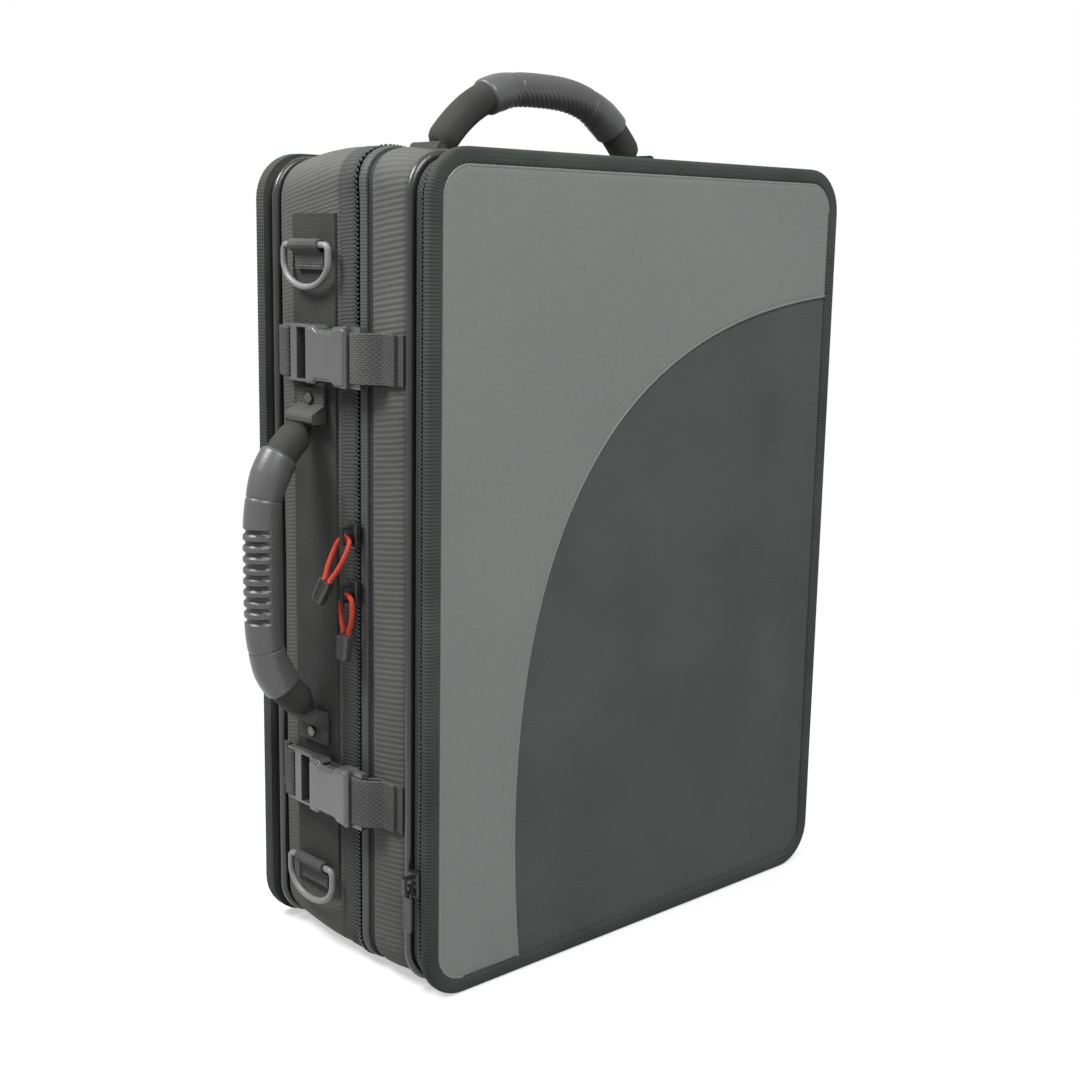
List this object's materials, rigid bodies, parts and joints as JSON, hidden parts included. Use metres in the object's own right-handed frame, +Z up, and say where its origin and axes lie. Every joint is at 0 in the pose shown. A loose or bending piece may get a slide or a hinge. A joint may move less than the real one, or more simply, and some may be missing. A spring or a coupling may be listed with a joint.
{
  "type": "double clarinet case",
  "caption": "Soft-sided rectangular case with padded blocks for clarinets, a zipped hinged lid, a front music pocket, side-release buckles and two carrying handles.",
  "frame": {"origin": "on the floor, under the middle of the whole part's bounding box, the side handle included", "axes": "+Z up along the case's length, -Y out of the front flap, -X out of the side with the handle and the buckles, hinges at +X"},
  "size_m": [0.344, 0.145, 0.4686],
  "materials": {
    "leather": "pebbled matt",
    "nylon": "plain weave",
    "binding": "ribbed grosgrain",
    "ribbed_nylon": "cross-ribbed weave",
    "webbing": "woven strap",
    "piping": "satin",
    "zip_tape": "woven tape with moulded coil",
    "plastic": "satin moulded",
    "rubber": "soft matt",
    "black_metal": "black enamel",
    "rivet_metal": "satin",
    "red_cord": "braided",
    "plush": "short pile",
    "board": "matt"
  },
  "bodies": {
    "case": {"back_binding": "binding", "back_board": "board", "back_cover": "nylon", "back_piping": "piping", "back_wall": "ribbed_nylon", "main_zip_back": "zip_tape", "hinge_strip_back": "webbing", "joints_block": "plush", "bells_block": "plush", "side_band": "webbing", "ring_tab_upper": "webbing", "ring_tab_lower": "webbing", "buckle_plug_upper": "plastic", "buckle_plug_lower": "plastic", "latch_strap_upper": "webbing", "latch_strap_lower": "webbing", "side_handle_upper_anchor": "webbing", "side_handle_lower_anchor": "webbing", "side_handle_upper_rivet": "rivet_metal", "side_handle_lower_rivet": "rivet_metal", "top_handle_left_anchor": "webbing", "top_handle_right_anchor": "webbing"},
    "lid": {"lid_wall": "ribbed_nylon", "lid_panel": "nylon", "lid_piping": "piping", "main_zip_lid": "zip_tape", "hinge_strip_lid": "webbing", "lid_pad": "plush", "pocket_zip_rear": "zip_tape", "pocket_hinge_rear": "webbing", "buckle_socket_upper": "plastic", "buckle_socket_lower": "plastic", "lid_strap_upper": "webbing", "lid_strap_lower": "webbing"},
    "flap": {"flap_binding": "binding", "flap_board": "board", "leather_cover": "leather", "nylon_cover": "nylon", "pocket_zip_front": "zip_tape", "pocket_hinge_front": "webbing"},
    "tray_lid": {"tray_lid": "plush", "tray_tab": "webbing"},
    "ring_upper": {"ring_upper": "plastic"},
    "ring_lower": {"ring_lower": "plastic"},
    "arm_upper_top": {"buckle_arm_upper_top": "plastic"},
    "arm_upper_bottom": {"buckle_arm_upper_bottom": "plastic"},
    "arm_lower_top": {"buckle_arm_lower_top": "plastic"},
    "arm_lower_bottom": {"buckle_arm_lower_bottom": "plastic"},
    "side_handle": {"side_handle_core": "webbing", "side_handle_grip": "rubber"},
    "top_handle": {"top_handle_core": "webbing", "top_handle_grip": "rubber"},
    "slider_upper": {"zip_slider_upper": "black_metal"},
    "slider_lower": {"zip_slider_lower": "black_metal"},
    "pull_upper": {"pull_cord_upper": "red_cord", "pull_end_upper": "rubber"},
    "pull_lower": {"pull_cord_lower": "red_cord", "pull_end_lower": "rubber"},
    "pocket_slider": {"pocket_slider": "black_metal"},
    "pocket_pull": {"pocket_pull": "black_metal"}
  },
  "joints": [
    {"name": "lid_hinge", "type": "hinge", "parent": "case", "child": "lid", "pos_m": [0.16925, -0.0115, 0], "axis": [0, 0, 1], "range_deg": [0, 110]},
    {"name": "flap_hinge", "type": "hinge", "parent": "lid", "child": "flap", "pos_m": [0.16925, -0.062, 0], "axis": [0, 0, 1], "range_deg": [0, 120]},
    {"name": "tray_hinge", "type": "hinge", "parent": "case", "child": "tray_lid", "pos_m": [0.15685, -0.0118, 0.27], "axis": [0, 0, 1], "range_deg": [0, 85]},
    {"name": "ring_hinge_upper", "type": "hinge", "parent": "case", "child": "ring_upper", "pos_m": [-0.13385, 0.024, 0.3735], "axis": [0, 1, 0], "range_deg": [0, 150]},
    {"name": "ring_hinge_lower", "type": "hinge", "parent": "case", "child": "ring_lower", "pos_m": [-0.13385, 0.024, 0.0475], "axis": [0, 1, 0], "range_deg": [0, 150]},
    {"name": "side_handle_hinge", "type": "hinge", "parent": "case", "child": "side_handle", "pos_m": [-0.13615, 0.024, 0.2085], "axis": [0, 0, 1], "range_deg": [-15, 15]},
    {"name": "top_handle_hinge", "type": "hinge", "parent": "case", "child": "top_handle", "pos_m": [0.02305, 0.024, 0.4242], "axis": [1, 0, 0], "range_deg": [-30, 30]},
    {"name": "slider_upper_track", "type": "slide", "parent": "case", "child": "slider_upper", "axis": [0, 0, 1], "range_m": [0, 0.055]},
    {"name": "slider_lower_track", "type": "slide", "parent": "case", "child": "slider_lower", "axis": [0, 0, 1], "range_m": [-0.045, 0]},
    {"name": "pull_upper_hinge", "type": "hinge", "parent": "slider_upper", "child": "pull_upper", "pos_m": [-0.13535, -0.0115, 0.22995], "axis": [0, 1, 0], "range_deg": [0, 90]},
    {"name": "pull_lower_hinge", "type": "hinge", "parent": "slider_lower", "child": "pull_lower", "pos_m": [-0.13535, -0.0115, 0.20045], "axis": [0, 1, 0], "range_deg": [0, 90]},
    {"name": "pocket_slider_track", "type": "slide", "parent": "lid", "child": "pocket_slider", "axis": [0, 0, 1], "range_m": [-0.02, 0.3]},
    {"name": "pocket_pull_hinge", "type": "hinge", "parent": "pocket_slider", "child": "pocket_pull", "pos_m": [-0.13535, -0.062, 0.062], "axis": [0, 1, 0], "range_deg": [0, 165]},
    {"name": "arm_hinge_upper_top", "type": "hinge", "parent": "case", "child": "arm_upper_top", "pos_m": [-0.13555, 0.0155, 0.33], "axis": [1, 0, 0], "range_deg": [0, 6], "stiffness_Nm_per_rad": 0.02},
    {"name": "arm_hinge_upper_bottom", "type": "hinge", "parent": "case", "child": "arm_upper_bottom", "pos_m": [-0.13555, 0.0155, 0.31], "axis": [-1, 0, 0], "range_deg": [0, 6], "stiffness_Nm_per_rad": 0.02},
    {"name": "arm_hinge_lower_top", "type": "hinge", "parent": "case", "child": "arm_lower_top", "pos_m": [-0.13555, 0.0155, 0.1055], "axis": [1, 0, 0], "range_deg": [0, 6], "stiffness_Nm_per_rad": 0.02},
    {"name": "arm_hinge_lower_bottom", "type": "hinge", "parent": "case", "child": "arm_lower_bottom", "pos_m": [-0.13555, 0.0155, 0.0855], "axis": [-1, 0, 0], "range_deg": [0, 6], "stiffness_Nm_per_rad": 0.02}
  ],
  "couplings": [
    {"joint": "arm_hinge_upper_bottom", "follows": "arm_hinge_upper_top", "ratio": 1},
    {"joint": "arm_hinge_lower_bottom", "follows": "arm_hinge_lower_top", "ratio": 1}
  ]
}
